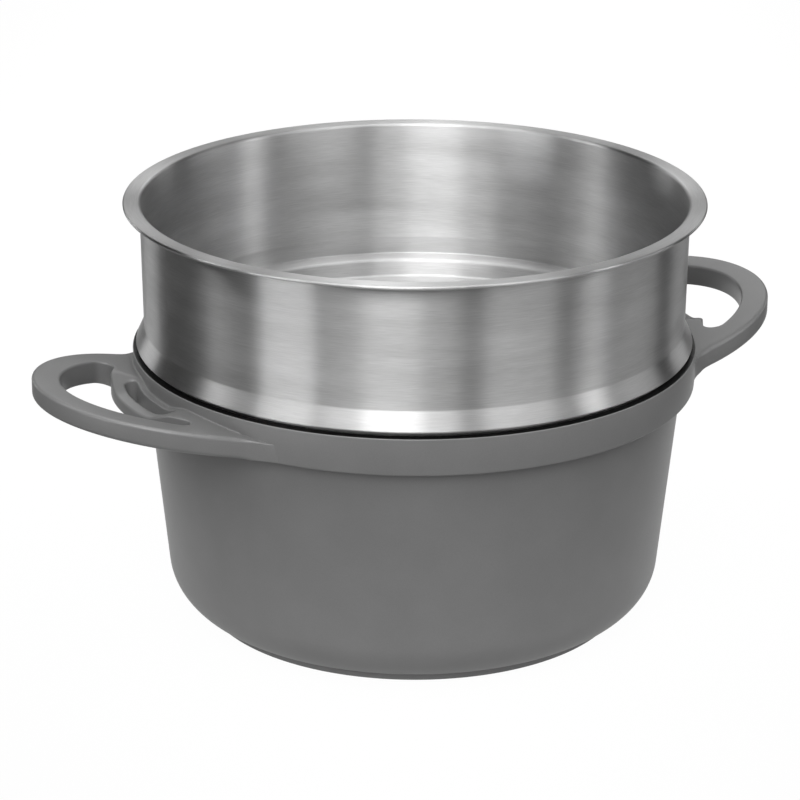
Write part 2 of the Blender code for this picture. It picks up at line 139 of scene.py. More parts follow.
# %% Material helpers
def linear(code):
    """Linear colour of an sRGB hex value such as #808080."""
    found = []
    for i in (1, 3, 5):
        c = int(code[i:i + 2], 16) / 255
        found.append(c / 12.92 if c <= 0.04045 else ((c + 0.055) / 1.055) ** 2.4)
    return (*found, 1.0)


def add(tree, kind, inputs=None, **settings):
    """A node with its settings; an input is a value, or another node's output to link."""
    made = tree.nodes.new(kind)
    for name, value in settings.items():
        setattr(made, name, value)
    for key, value in (inputs or {}).items():
        if isinstance(value, bpy.types.NodeSocket):
            tree.links.new(value, made.inputs[key])
        else:
            made.inputs[key].default_value = value
    return made


def new_material(name, **sockets):
    """An empty material with a Principled shader, whose constant sockets are given."""
    made = bpy.data.materials.new(name)
    made.use_nodes = True
    shader = made.node_tree.nodes["Principled BSDF"]
    for key, value in sockets.items():
        shader.inputs[key.replace("_", " ")].default_value = value
    return made, made.node_tree, shader


def ramp(tree, factor, low, high, low_at=0.0, high_at=1.0):
    """A value that goes from low to high while the factor goes from low_at to high_at."""
    made = add(tree, "ShaderNodeMapRange", {"Value": factor, "From Min": low_at, "From Max": high_at,
                                            "To Min": low, "To Max": high})
    return made.outputs["Result"]


def tint(tree, factor, dark, light):
    """A colour between two hex values; a Mix node's sockets 6 and 7 are its two colours."""
    made = add(tree, "ShaderNodeMix", {"Factor": factor, 6: linear(dark), 7: linear(light)},
               data_type="RGBA")
    return made.outputs[2]


def grain(tree, place, size, detail):
    """Noise whose blobs measure about this many millimetres: one size, or one along each axis."""
    sizes = size if isinstance(size, tuple) else (size, size, size)
    scaled = add(tree, "ShaderNodeMapping", {"Vector": place, "Scale": [1.0 / (s * MM) for s in sizes]})
    made = add(tree, "ShaderNodeTexNoise", {"Vector": scaled.outputs[0], "Scale": 1.0, "Detail": detail})
    return made.outputs[0]


# %% [markdown]
# ## Sprayed grey coating
# The casting is sprayed with a satin ceramic coating, warm grey and slightly uneven like all
# sprayed coats. It is not a metal to the eye: the light slides off it only at grazing angles.
# Two noises do the work, one of the spray's drops for the bump and one broad one for the tone.

# %% Grey coating
SPRAY_PATCH = 22.0
SPRAY_DROP = 0.55


def coating_grey():
    made, tree, shader = new_material("sprayed_ceramic_coating_grey", IOR=1.5, Metallic=0.0,
                                      Specular_IOR_Level=0.8)
    place = add(tree, "ShaderNodeTexCoord").outputs["Object"]
    broad = grain(tree, place, SPRAY_PATCH, detail=3.0)
    speck = grain(tree, place, SPRAY_DROP, detail=2.0)
    tone = add(tree, "ShaderNodeMath", {0: broad, 1: speck}, operation="ADD").outputs[0]
    tree.links.new(tint(tree, ramp(tree, tone, 0.0, 1.0, 0.7, 1.3), "#6c6c6c", "#727272"),
                   shader.inputs["Base Color"])
    tree.links.new(ramp(tree, speck, 0.35, 0.43, 0.3, 0.7), shader.inputs["Roughness"])
    bump = add(tree, "ShaderNodeBump", {"Strength": 0.10, "Distance": 0.00012, "Height": speck})
    tree.links.new(bump.outputs[0], shader.inputs["Normal"])
    return made


# %% [markdown]
# ## Black non-stick coating
# The inside and the top of the rim carry a black fluoropolymer coating, baked on and a little
# glossy, with fine mineral flecks that only show in raking light.

# %% Non-stick coating
FLECK = 0.9


def coating_black():
    made, tree, shader = new_material("baked_nonstick_coating_black", IOR=1.38, Metallic=0.0,
                                      Specular_IOR_Level=0.25)
    place = add(tree, "ShaderNodeTexCoord").outputs["Object"]
    fleck = grain(tree, place, FLECK, detail=3.0)
    tree.links.new(tint(tree, ramp(tree, fleck, 0.0, 1.0, 0.62, 0.75), "#0b0b0b", "#1e1e1e"),
                   shader.inputs["Base Color"])
    tree.links.new(ramp(tree, fleck, 0.34, 0.5, 0.3, 0.7), shader.inputs["Roughness"])
    bump = add(tree, "ShaderNodeBump", {"Strength": 0.12, "Distance": 0.0001, "Height": fleck})
    tree.links.new(bump.outputs[0], shader.inputs["Normal"])
    return made


# %% [markdown]
# ## Brushed stainless steel
# Drawn steel is brushed while it turns, so its scratches run round the piece. They stretch each
# highlight across themselves, up and down the wall, which is the upright bands that such pots
# show. The Principled shader does this by its anisotropy, along a tangent that runs round the
# axis. The scratches themselves are a noise in cylinder coordinates, long round and short up.

# %% Brushed steel
SCRATCH_LENGTH = 8.0
SCRATCH_WIDTH = 0.22
CLOUD_LENGTH = 60.0
CLOUD_WIDTH = 9.0
INSERT_MEAN_RADIUS = 121.0


def brushed_steel():
    made, tree, shader = new_material("brushed_stainless_steel", Metallic=1.0, Anisotropic=1.0,
                                      Anisotropic_Rotation=0.25)
    place = add(tree, "ShaderNodeTexCoord").outputs["Object"]
    axes = add(tree, "ShaderNodeSeparateXYZ", {0: place})
    angle = add(tree, "ShaderNodeMath", {0: axes.outputs[1], 1: axes.outputs[0]}, operation="ARCTAN2")
    across = add(tree, "ShaderNodeVectorMath", {0: place, 1: (1.0, 1.0, 0.0)}, operation="MULTIPLY")
    radius = add(tree, "ShaderNodeVectorMath", {0: across.outputs[0]}, operation="LENGTH").outputs["Value"]
    round_way = add(tree, "ShaderNodeMath", {0: angle.outputs[0], 1: INSERT_MEAN_RADIUS * MM},
                    operation="MULTIPLY")
    along = add(tree, "ShaderNodeCombineXYZ", {0: round_way.outputs[0], 1: radius, 2: axes.outputs[2]})
    scratch = grain(tree, along.outputs[0], (SCRATCH_LENGTH, SCRATCH_WIDTH, SCRATCH_WIDTH), detail=3.0)
    cloud = grain(tree, along.outputs[0], (CLOUD_LENGTH, CLOUD_WIDTH, CLOUD_WIDTH), detail=2.0)
    mixed = add(tree, "ShaderNodeMath", {0: scratch, 1: cloud}, operation="ADD").outputs[0]
    tree.links.new(tint(tree, ramp(tree, mixed, 0.0, 1.0, 0.7, 1.3), "#bababa", "#d2d2d2"),
                   shader.inputs["Base Color"])
    tree.links.new(ramp(tree, mixed, 0.35, 0.41, 0.7, 1.3), shader.inputs["Roughness"])
    bump = add(tree, "ShaderNodeBump", {"Strength": 0.08, "Distance": 0.00006, "Height": scratch})
    tree.links.new(bump.outputs[0], shader.inputs["Normal"])
    tangent = add(tree, "ShaderNodeTangent", direction_type="RADIAL", axis="Z")
    tree.links.new(tangent.outputs[0], shader.inputs["Tangent"])
    return made


# %% [markdown]
# ## Turned metal of the base
# The foot ring and the induction disc are faced on a lathe, which leaves fine rings about the
# axis. The ring and the disc differ only in tone: bare aluminium is whiter than ferritic steel.

# %% Turned metal
RING_PITCH = 0.6


def turned_metal(name, dark, light):
    made, tree, shader = new_material(name, Metallic=1.0, Anisotropic=0.5, Anisotropic_Rotation=0.25)
    place = add(tree, "ShaderNodeTexCoord").outputs["Object"]
    across = add(tree, "ShaderNodeVectorMath", {0: place, 1: (1.0, 1.0, 0.0)}, operation="MULTIPLY")
    radius = add(tree, "ShaderNodeVectorMath", {0: across.outputs[0]}, operation="LENGTH").outputs["Value"]
    rings = grain(tree, add(tree, "ShaderNodeCombineXYZ", {0: radius}).outputs[0], RING_PITCH, detail=3.0)
    tree.links.new(tint(tree, ramp(tree, rings, 0.0, 1.0, 0.3, 0.7), dark, light),
                   shader.inputs["Base Color"])
    tree.links.new(ramp(tree, rings, 0.3, 0.42, 0.3, 0.7), shader.inputs["Roughness"])
    bump = add(tree, "ShaderNodeBump", {"Strength": 0.25, "Distance": 0.0001, "Height": rings})
    tree.links.new(bump.outputs[0], shader.inputs["Normal"])
    tangent = add(tree, "ShaderNodeTangent", direction_type="RADIAL", axis="Z")
    tree.links.new(tangent.outputs[0], shader.inputs["Tangent"])
    return made


grey = coating_grey()
black = coating_black()
steel = brushed_steel()
bare_aluminium = turned_metal("turned_bare_aluminium", "#a3a3a3", "#bdbdbd")
ferritic_steel = turned_metal("turned_ferritic_steel", "#7d7b79", "#999794")
print("materials:", [m.name for m in (grey, black, steel, bare_aluminium, ferritic_steel)])

# %% [markdown]
# ## The pot's body
# The body is cast and then turned, so its profile is all there is to it: a thick rim band with a
# small top round, a step in under it, a slightly conical wall, a large corner and a foot ring.
# Inside, a conical seat and a short straight mouth take the insert.

# %% Body sizes
BAND_RADIUS = 126.3
BAND_TAPER = 0.24
BAND_BOTTOM = 107.2
BAND_TOP_ROUND = 0.5
BAND_LOW_ROUND = 0.8
BAND_UNDER_FILLET = 2.0
RIM_TOP = 123.7
WALL_SLOPE = 0.10
WALL_FOOT_HEIGHT = 22.0
WALL_FOOT_RADIUS = 111.9
WALL_THICKNESS = 4.2
CORNER_RADIUS = 22.1
INNER_CORNER_RADIUS = 18.0
FLOOR_THICKNESS = 6.0
FOOT_RADIUS = 96.1
FOOT_WIDTH = 4.6
FOOT_ROUND = 0.4
FOOT_RECESS = 0.6
SEAT_OUTER_RADIUS = 122.3
SEAT_SLOPE = 1.0 / 3.0
MOUTH_RADIUS = 119.9
MOUTH_BOTTOM = 112.3
MOUTH_ROUND = 0.8
POCKET_STEP = 109.0
POCKET_ROUND = 1.2
SEAT_EDGE = 0.15
PLATE_RADIUS = 80.2
PLATE_GAP = 0.3
PLATE_BOTTOM = 0.5
PLATE_TOP = 1.9


def wall_radius(height):
    return WALL_FOOT_RADIUS + WALL_SLOPE * (height - WALL_FOOT_HEIGHT)


def body_profile():
    """Down the outer side from the rim to the foot, across the base, and up the inner side."""
    tilt = math.degrees(math.atan(WALL_SLOPE))
    reach = math.cos(math.radians(tilt))
    corner_r = WALL_FOOT_RADIUS - CORNER_RADIUS * reach
    corner_z = WALL_FOOT_HEIGHT + CORNER_RADIUS * math.sin(math.radians(tilt))
    foot_angle = -math.degrees(math.acos((FOOT_RADIUS - corner_r) / CORNER_RADIUS))
    inner_r = WALL_FOOT_RADIUS - WALL_THICKNESS - INNER_CORNER_RADIUS * reach
    band_low = BAND_RADIUS - BAND_TAPER
    fillet_z = BAND_BOTTOM - BAND_UNDER_FILLET
    fillet_r = wall_radius(fillet_z) + BAND_UNDER_FILLET
    pocket = PLATE_RADIUS + PLATE_GAP
    inner_wall = wall_radius(POCKET_STEP) - WALL_THICKNESS
    seat_low = RIM_TOP - (SEAT_OUTER_RADIUS - MOUTH_RADIUS) * SEAT_SLOPE
    points = arc(BAND_RADIUS - BAND_TOP_ROUND, RIM_TOP - BAND_TOP_ROUND, BAND_TOP_ROUND, 90.0, 0.0, 5)
    points += arc(band_low - BAND_LOW_ROUND, BAND_BOTTOM + BAND_LOW_ROUND, BAND_LOW_ROUND, 0.0, -90.0, 5)
    points += arc(fillet_r, fillet_z, BAND_UNDER_FILLET, 90.0, 180.0, 6)
    points += arc(corner_r, corner_z, CORNER_RADIUS, -tilt, foot_angle, 20)
    points += arc(FOOT_RADIUS - FOOT_ROUND, FOOT_ROUND, FOOT_ROUND, 0.0, -90.0, 4)
    points += [
        (FOOT_RADIUS - FOOT_WIDTH, 0.0),
        (FOOT_RADIUS - FOOT_WIDTH - FOOT_RECESS / 2, FOOT_RECESS),
        (pocket, FOOT_RECESS),
        (pocket, PLATE_TOP + PLATE_GAP),
        (0.0, PLATE_TOP + PLATE_GAP),
        (0.0, FLOOR_THICKNESS),
    ]
    points += arc(inner_r, FLOOR_THICKNESS + INNER_CORNER_RADIUS, INNER_CORNER_RADIUS, -90.0, -tilt, 14)
    points += arc(inner_wall + POCKET_ROUND, POCKET_STEP, POCKET_ROUND, 180.0, 120.0, 3)
    points += arc(MOUTH_RADIUS - MOUTH_ROUND * 2, MOUTH_BOTTOM + MOUTH_ROUND,
                  MOUTH_ROUND * 2, -60.0, 0.0, 4)
    points += [
        (MOUTH_RADIUS, seat_low - SEAT_EDGE),
        (MOUTH_RADIUS + SEAT_EDGE, seat_low),
        (SEAT_OUTER_RADIUS - 0.2, RIM_TOP - 0.06),
        (SEAT_OUTER_RADIUS + 0.1, RIM_TOP),
    ]
    return points


# %% [markdown]
# ## The loop handles
# Each handle is a flat loop, cast in one with the band. Its top is a sloping, slightly crowned
# plane, and the web between the two arms is dished and has a slot along the rim. Modelling by
# hand would start from a plane and cut it. Here the outline and both openings are curves from
# formulas, a triangulation fills the area between them, and height functions give the top and
# the underside their shape. The rounds at the edges are rings of quads round each curve.

# %% Handle sizes
HANDLE_TOP_AT_BAND = 119.8
HANDLE_RISE = 0.2309
HANDLE_CROWN = 0.0007
HANDLE_THICKNESS = 9.2
HANDLE_BELLY = 3.9
LOOP_CENTRE_X = 117.8
LOOP_REACH = 62.6
LOOP_HALF_WIDTH = 60.45
ROOT_FILLET = 23.0
ROOT_DEPTH = 5.2
ROOT_OVERLAP = 0.2
ROOT_TAPER = 5.0
ROOT_EDGE = 0.12
OUTER_ROUND = 1.8
INNER_ROUND = 1.0
BAND_BLEND = 0.8
BLEND_SINK = 0.1
UNDER_CLEARANCE = 0.2
ARM_AT_TIP = 11.75
ARM_AT_SIDE = 12.0
WINDOW_EXPONENT = 1.95
WINDOW_CORNER = 5.0
WINDOW_CORNER_OUT = 9.4
WINDOW_CORNER_END = 207.0
WEB_EDGE_START = 1.7
WEB_EDGE_X = 141.3
WEB_EDGE_RADIUS = 84.0
DISH_LEVEL = 116.45
DISH_HALF_WIDTH = 17.0
DISH_FAN = 0.81
DISH_RAMP = 8.0
DISH_RAMP_FAN = 0.5
DISH_REACH = 13.0
DISH_END = 4.0
SLOT_INNER_RADIUS = 129.2
SLOT_OUTER_X = 135.3
SLOT_OUTER_RADIUS = 105.0
SLOT_HALF_LENGTH = 22.3
SLOT_END_ROUND = 2.2
HANDLE_GRID = 2.0
EDGE_STEPS = 6


def plane_height(x):
    out = x - BAND_RADIUS
    return HANDLE_TOP_AT_BAND + HANDLE_RISE * out - HANDLE_CROWN * out * out


def smooth_step(t):
    t = min(1.0, max(0.0, t))
    return t * t * (3.0 - 2.0 * t)


def blend(x, y):
    """How far the handle faces turn into the band wall: a quarter round of BAND_BLEND."""
    out = math.hypot(x, y) - BAND_RADIUS + BLEND_SINK
    if out >= BAND_BLEND:
        return 0.0
    out = max(0.0, out)
    return BAND_BLEND - math.sqrt(BAND_BLEND**2 - (BAND_BLEND - out) ** 2)


def top_height(x, y):
    """The loop plane, dished between the arms, and turned up against the band."""
    level = plane_height(x)
    out = min(DISH_REACH, max(0.0, x - BAND_RADIUS))
    middle = DISH_HALF_WIDTH + DISH_FAN * out
    slope = DISH_RAMP + DISH_RAMP_FAN * out
    depth = 1.0 - smooth_step((abs(y) - middle + slope) / (2.0 * slope))
    if x > WEB_EDGE_X + DISH_END:
        depth = 0.0
    return level - (level - DISH_LEVEL) * depth + blend(x, y)


def bottom_height(x, y):
    """Bellied towards the web, and kept above the lower edge of the band."""
    out = ((x - LOOP_CENTRE_X) / LOOP_REACH) ** 2
    belly = HANDLE_BELLY * max(0.0, 1.0 - out) * max(0.0, 1.0 - out - (y / LOOP_HALF_WIDTH) ** 2)
    return max(plane_height(x) - HANDLE_THICKNESS - belly - blend(x, y), BAND_BOTTOM + UNDER_CLEARANCE)


def root_share(x, y):
    """How much of an outline's edge round is left: it runs out where the outline meets the band."""
    return max(ROOT_EDGE, min(1.0, (math.hypot(x, y) - BAND_RADIUS) / ROOT_TAPER))


# %% Handle curves
LOOP_POINTS = 44
FILLET_POINTS = 16
ROOT_POINTS = 12
WINDOW_POINTS = 28
WEB_POINTS = 16
SLOT_POINTS = 12


def mirrored(half, closing=None):
    """A closed outline from its upper half, which starts on the x axis."""
    whole = list(half)
    if closing is not None:
        whole.append(closing)
    start = 1 if abs(half[0][1]) < 1e-9 else 0
    return whole + [(x, -y) for x, y in reversed(half[start:])]


def last_where(holds, low, high):
    """The last value between low and high where something still holds, found by halving."""
    for _ in range(40):
        middle = (low + high) / 2
        if holds(middle):
            low = middle
        else:
            high = middle
    return low


def direction(v):
    """The angle of a flat vector in degrees, as arc() counts them."""
    return math.degrees(math.atan2(v.y, v.x))


def loop_outline():
    """The handle's outer outline, from the tip to its root inside the band. The fillet at the
    root touches both the loop and the band."""
    meet = BAND_RADIUS - ROOT_OVERLAP

    def side(t):
        return Vector((LOOP_CENTRE_X + LOOP_REACH * math.cos(t), LOOP_HALF_WIDTH * math.sin(t)))

    def fillet_centre(t):
        run = side(t + 0.001) - side(t - 0.001)
        return side(t) + Vector((run.y, -run.x)).normalized() * ROOT_FILLET

    touch = last_where(lambda t: fillet_centre(t).length > meet + ROOT_FILLET, 0.8, math.pi / 2)
    centre = fillet_centre(touch)
    points = [tuple(side(touch * i / LOOP_POINTS)) for i in range(LOOP_POINTS)]
    points += arc(centre.x, centre.y, ROOT_FILLET, direction(side(touch) - centre), direction(-centre),
                  FILLET_POINTS)
    edge = math.radians(direction(centre))
    root = BAND_RADIUS - ROOT_DEPTH
    for k in range(ROOT_POINTS):
        a = edge * (1 - k / ROOT_POINTS)
        points.append((root * math.cos(a), root * math.sin(a)))
    return mirrored(points, (root, 0.0))


def window_outline():
    """The finger opening: a superellipse beside the loop, a rounded corner, and the web's edge."""
    reach = LOOP_REACH - ARM_AT_TIP
    half = LOOP_HALF_WIDTH - ARM_AT_SIDE
    power = 2.0 / WINDOW_EXPONENT

    def side(t):
        return Vector((LOOP_CENTRE_X + reach * math.cos(t) ** power, half * math.sin(t) ** power))

    def corner_centre(t):
        run = side(t + 0.001) - side(t - 0.001)
        return side(t) + Vector((-run.y, run.x)).normalized() * WINDOW_CORNER

    touch = last_where(lambda t: corner_centre(t).x > BAND_RADIUS + WINDOW_CORNER_OUT, 0.1, 1.5)
    centre = corner_centre(touch)
    points = [tuple(side(touch * i / WINDOW_POINTS)) for i in range(WINDOW_POINTS)]
    points += arc(centre.x, centre.y, WINDOW_CORNER, direction(side(touch) - centre),
                  WINDOW_CORNER_END, WINDOW_POINTS // 2)
    web_centre = WEB_EDGE_X - WEB_EDGE_RADIUS
    web_end = centre.y - WEB_EDGE_START * WINDOW_CORNER
    for k in range(WEB_POINTS):
        y = web_end * (1 - k / WEB_POINTS)
        points.append((web_centre + math.sqrt(WEB_EDGE_RADIUS**2 - y * y), y))
    return mirrored(points, (WEB_EDGE_X, 0.0))


def slot_outline():
    """The slot through the web, concentric with the rim on its inner side."""
    centre = SLOT_OUTER_X - SLOT_OUTER_RADIUS
    end = SLOT_HALF_LENGTH - SLOT_END_ROUND
    outer = []
    inner = []
    for k in range(SLOT_POINTS + 1):
        y = end * k / SLOT_POINTS
        outer.append((centre + math.sqrt(SLOT_OUTER_RADIUS**2 - y * y), y))
    for k in range(SLOT_POINTS):
        y = end * (1 - k / SLOT_POINTS)
        inner.append((math.sqrt(SLOT_INNER_RADIUS**2 - y * y), y))
    mid_x = (outer[-1][0] + inner[0][0]) / 2
    half = (outer[-1][0] - inner[0][0]) / 2
    cap = []
    for k in range(1, 8):
        a = math.pi * k / 8
        cap.append((mid_x + half * math.cos(a), end + SLOT_END_ROUND * math.sin(a)))
    return mirrored(outer + cap + inner, (SLOT_INNER_RADIUS, 0.0))


def offset(loop, distances):
    """The loop moved towards its left side by one distance per point, at mean normals."""
    moved = []
    for i, (x, y) in enumerate(loop):
        ax, ay = loop[i - 1]
        bx, by = loop[(i + 1) % len(loop)]
        one = Vector((y - ay, ax - x)).normalized()
        two = Vector((by - y, x - bx)).normalized()
        normal = (one + two).normalized()
        stretch = distances[i] / max(0.5, normal.dot(one))
        moved.append((x - normal.x * stretch, y - normal.y * stretch))
    return moved


def inside(point, loop):
    x, y = point
    found = False
    for i, (bx, by) in enumerate(loop):
        ax, ay = loop[i - 1]
        if (ay > y) != (by > y) and x < (bx - ax) * (y - ay) / (by - ay) + ax:
            found = not found
    return found


# %% Handle mesh
BAND_ROWS = (-0.5, -0.1, 0.0, 0.15, 0.35, 0.6, 0.9)
BAND_ROW_HALF = 34
BAND_ROW_ANGLE = 0.72
BAND_ROW_END_Y = 56.0


def in_area(point, loops):
    """Whether a point lies inside the first loop and outside the others."""
    return inside(point, loops[0]) and not any(inside(point, hole) for hole in loops[1:])


def filled_area(loops, spacing):
    """Triangles between the first loop and the others, over a grid. Rows of close points along
    the band let the sheet turn into its wall with a round. Grid points keep off the curves and
    off those rows, so that no triangle is a sliver."""
    points = [Vector(p) for loop in loops for p in loop]
    edges = []
    start = 0
    for loop in loops:
        edges += [(start + i, start + (i + 1) % len(loop)) for i in range(len(loop))]
        start += len(loop)
    fence = kdtree.KDTree(len(points))
    for i, p in enumerate(points):
        fence.insert((p.x, p.y, 0.0), i)
    fence.balance()
    for out in BAND_ROWS:
        start = len(points)
        for k in range(-BAND_ROW_HALF, BAND_ROW_HALF + 1):
            a = math.radians(k * BAND_ROW_ANGLE)
            points.append(Vector(((BAND_RADIUS + out) * math.cos(a), (BAND_RADIUS + out) * math.sin(a))))
        edges += [(i, i + 1) for i in range(start, len(points) - 1)]
    low_x = min(x for x, y in loops[0])
    columns = int((max(x for x, y in loops[0]) - low_x) / spacing)
    lines = int(max(y for x, y in loops[0]) / spacing)
    for column in range(columns + 1):
        for line in range(-lines, lines + 1):
            p = (low_x + (column + 0.5) * spacing, (line + 0.5 * (column % 2)) * spacing)
            by_rows = abs(math.hypot(*p) - BAND_RADIUS - 0.5) < 1.0 + 0.45 * spacing
            if by_rows and abs(p[1]) < BAND_ROW_END_Y:
                continue
            if in_area(p, loops) and fence.find((*p, 0.0))[2] > 0.5 * spacing:
                points.append(Vector(p))
    verts, _, faces, origins, _, _ = delaunay_2d_cdt(points, edges, [], 0, 1e-5)
    kept = []
    for face in faces:
        middle = sum((verts[i] for i in face), Vector((0, 0))) / len(face)
        if in_area(middle, loops):
            kept.append([origins[i][0] for i in face])
    return points, kept


def handle():
    """One handle at +X, a closed skin: two sheets and the rounded rims round all three curves."""
    loops = [loop_outline(), window_outline()[::-1], slot_outline()[::-1]]
    rounds = [OUTER_ROUND, INNER_ROUND, INNER_ROUND]
    steps = [90.0 * k / EDGE_STEPS for k in range(EDGE_STEPS + 1)]
    bm = bmesh.new()
    rims = []
    inset_loops = []
    for loop, largest in zip(loops, rounds):
        radii = [largest * root_share(x, y) for x, y in loop]
        rings = []
        for upper in (True, False):
            for angle in steps[::-1] if upper else steps:
                a = math.radians(angle)
                moved = offset(loop, [radius * (1 - math.cos(a)) for radius in radii])
                ring = []
                for (x, y), radius in zip(moved, radii):
                    drop = radius * (1 - math.sin(a))
                    z = top_height(x, y) - drop if upper else bottom_height(x, y) + drop
                    ring.append(bm.verts.new((x * MM, y * MM, z * MM)))
                rings.append(ring)
                if angle == 90.0 and upper:
                    inset_loops.append(moved)
        rims.append(rings)
    for rings in rims:
        for a, b in zip(rings, rings[1:]):
            for i in range(len(a)):
                j = (i + 1) % len(a)
                bm.faces.new((a[i], b[i], b[j], a[j]))
    points, triangles = filled_area(inset_loops, HANDLE_GRID)
    for fixed, height in (([v for rings in rims for v in rings[0]], top_height),
                          ([v for rings in rims for v in rings[-1]], bottom_height)):
        verts = list(fixed)
        for p in points[len(fixed):]:
            verts.append(bm.verts.new((p.x * MM, p.y * MM, height(p.x, p.y) * MM)))
        for triangle in triangles:
            bm.faces.new([verts[i] for i in triangle])
    loose = [v for v in bm.verts if not v.link_faces]
    bmesh.ops.delete(bm, geom=loose, context="VERTS")
    bmesh.ops.recalc_face_normals(bm, faces=bm.faces)
    if bm.calc_volume(signed=True) < 0:
        bmesh.ops.reverse_faces(bm, faces=bm.faces)
    return bm


# %% Assemble the casting
STUD_RADIUS = 3.2
STUD_PITCH = 21.6
STUD_RINGS = 3
STUD_SIDES = 20
STUD_BOTTOM = 0.5
STUD_TOP = 2.5
COAT_EDGE = 0.4


def ring_places(pitch, rings, centre):
    """Places on rings of six, twelve, eighteen and so on, each with the angle it lies at."""
    found = [(0.0, 0.0, 0.0)] if centre else []
    for ring in range(1, rings + 1):
        for i in range(6 * ring):
            a = 2 * math.pi * i / (6 * ring)
            found.append((ring * pitch * math.cos(a), ring * pitch * math.sin(a), a))
    return found


def pins(bm, places, radius, sides, low, high):
    """An upright round pin at each place, from the low to the high level."""
    for x, y, angle in places:
        middle = Matrix.Translation((x * MM, y * MM, (low + high) / 2 * MM))
        place = middle @ Matrix.Rotation(angle, 4, "Z")
        bmesh.ops.create_cone(bm, cap_ends=True, segments=sides, radius1=radius * MM,
                              radius2=radius * MM, depth=(high - low) * MM, matrix=place)


def absorb(bm, other, turned=0.0):
    """Copy another bmesh into this one, turned about the axis."""
    bmesh.ops.transform(other, matrix=Matrix.Rotation(turned, 4, "Z"), verts=other.verts)
    spare = bpy.data.meshes.new("spare")
    other.to_mesh(spare)
    bm.from_mesh(spare)
    bpy.data.meshes.remove(spare)


def finish_of(face):
    """Grey outside is 0, the black coat inside and on the rim is 1, the bare turned base is 2."""
    middle = face.calc_center_median() / MM
    normal = face.normal
    out = math.hypot(middle.x, middle.y)
    if middle.z > RIM_TOP - 0.05 and 100.0 < out < BAND_RADIUS - COAT_EDGE:
        return 1
    within = out < min(wall_radius(max(WALL_FOOT_HEIGHT, middle.z)) - 1.0, MOUTH_RADIUS + 3.0)
    looks_in = normal.x * middle.x + normal.y * middle.y < 0.5 * out or normal.z > 0.9
    if within and looks_in and normal.z > -0.5 and middle.z > FLOOR_THICKNESS - 0.5:
        return 1
    if middle.z < PLATE_TOP + PLATE_GAP + 0.1 and out < FOOT_RADIUS - 0.2:
        return 2
    return 0


def casting():
    bm = turn(body_profile())
    grip = handle()
    absorb(bm, grip)
    absorb(bm, grip, math.pi)
    grip.free()
    pins(bm, ring_places(STUD_PITCH, STUD_RINGS, False), STUD_RADIUS, STUD_SIDES, STUD_BOTTOM, STUD_TOP)
    for face in bm.faces:
        face.material_index = finish_of(face)
    return into_object(bm, "cast_pot", [grey, black, bare_aluminium])


pot = casting()
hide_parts("pot_casting")
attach(pot, "pot")

# %% [markdown]
# ## The induction disc
# Aluminium doesn't heat on an induction hob, so such pots carry a perforated disc of magnetic
# steel in the base. Its holes take studs of the casting. A turned disc and one cut by a joined
# set of pins is the short way to make it.

# %% Induction disc
DISC_EDGE = 0.2
DISC_STEPS = 128
CUT_CREASE = 30.0


def cut_by(obj, bm_cutters):
    """Subtract the cutters from a piece and keep the result as its mesh."""
    mesh = bpy.data.meshes.new("cutters")
    bm_cutters.to_mesh(mesh)
    bm_cutters.free()
    cutter = bpy.data.objects.new("cutters", mesh)
    bpy.context.scene.collection.objects.link(cutter)
    cut = obj.modifiers.new("holes", "BOOLEAN")
    cut.object = cutter
    cut.operation = "DIFFERENCE"
    cut.solver = "EXACT"
    graph = bpy.context.evaluated_depsgraph_get()
    result = bpy.data.meshes.new_from_object(obj.evaluated_get(graph))
    obj.modifiers.clear()
    old = obj.data
    result.name = old.name
    obj.data = result
    bpy.data.meshes.remove(old)
    bpy.data.objects.remove(cutter)
    bpy.data.meshes.remove(mesh)
    obj.data.set_sharp_from_angle(angle=math.radians(CUT_CREASE))


def induction_disc():
    """A flat turned disc with a hole round each stud of the casting."""
    profile = arc(PLATE_RADIUS - DISC_EDGE, PLATE_TOP - DISC_EDGE, DISC_EDGE, 90.0, 0.0, 2)
    profile += arc(PLATE_RADIUS - DISC_EDGE, PLATE_BOTTOM + DISC_EDGE, DISC_EDGE, 0.0, -90.0, 2)
    profile += [(0.0, PLATE_BOTTOM), (0.0, PLATE_TOP)]
    obj = into_object(turn(profile, DISC_STEPS), "induction_disc", [ferritic_steel])
    cutters = bmesh.new()
    pins(cutters, ring_places(STUD_PITCH, STUD_RINGS, False), STUD_RADIUS + PLATE_GAP, STUD_SIDES,
         PLATE_BOTTOM - 1.5, PLATE_TOP + 2.1)
    cut_by(obj, cutters)
    return obj


disc = induction_disc()
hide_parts("induction_plate")
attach(disc, "pot")

# %% [markdown]
# ## The steamer insert
# One deep-drawn shell of 0.7 mm steel. The profile runs down the outside from the rolled flange,
# along the tall wall, out over the flare, round the shoulder, in along the ledge that sits on the
# pot's seat, and down the short lower wall to the floor, then back up the inside, a sheet's
# thickness away.

# %% Insert sizes and profile
SHEET = 0.7
SEAT_GAP = 0.3
LOWER_WALL_RADIUS = 119.15
LOWER_WALL_ROUND = 1.9
INSERT_FLOOR = 114.2
SHOULDER_RADIUS = 124.7
SHOULDER_EDGE = 126.5
SHOULDER_ROUND = 0.75
SHOULDER_INSET = 2.4 * SHOULDER_ROUND
LEDGE_TILT = 18.0
LEDGE_ROUND = 2.0
LEDGE_ROUND_DEPTH = 1.6
FLARE_TOP = 134.8
FLARE_RADIUS = 2.5
INSERT_WALL_FOOT_RADIUS = 121.06
INSERT_WALL_TOP_RADIUS = 121.78
FLANGE_TOP = 190.9
FLANGE_RADIUS = 129.13
FLANGE_BEND = 0.9
HEM_THICKNESS = 1.6
HEM_WIDTH = 2.8
HOLE_RADIUS = 4.8
HOLE_PITCH = 21.5
HOLE_RINGS = 4
HOLE_SIDES = 24
INSERT_STEPS = 256


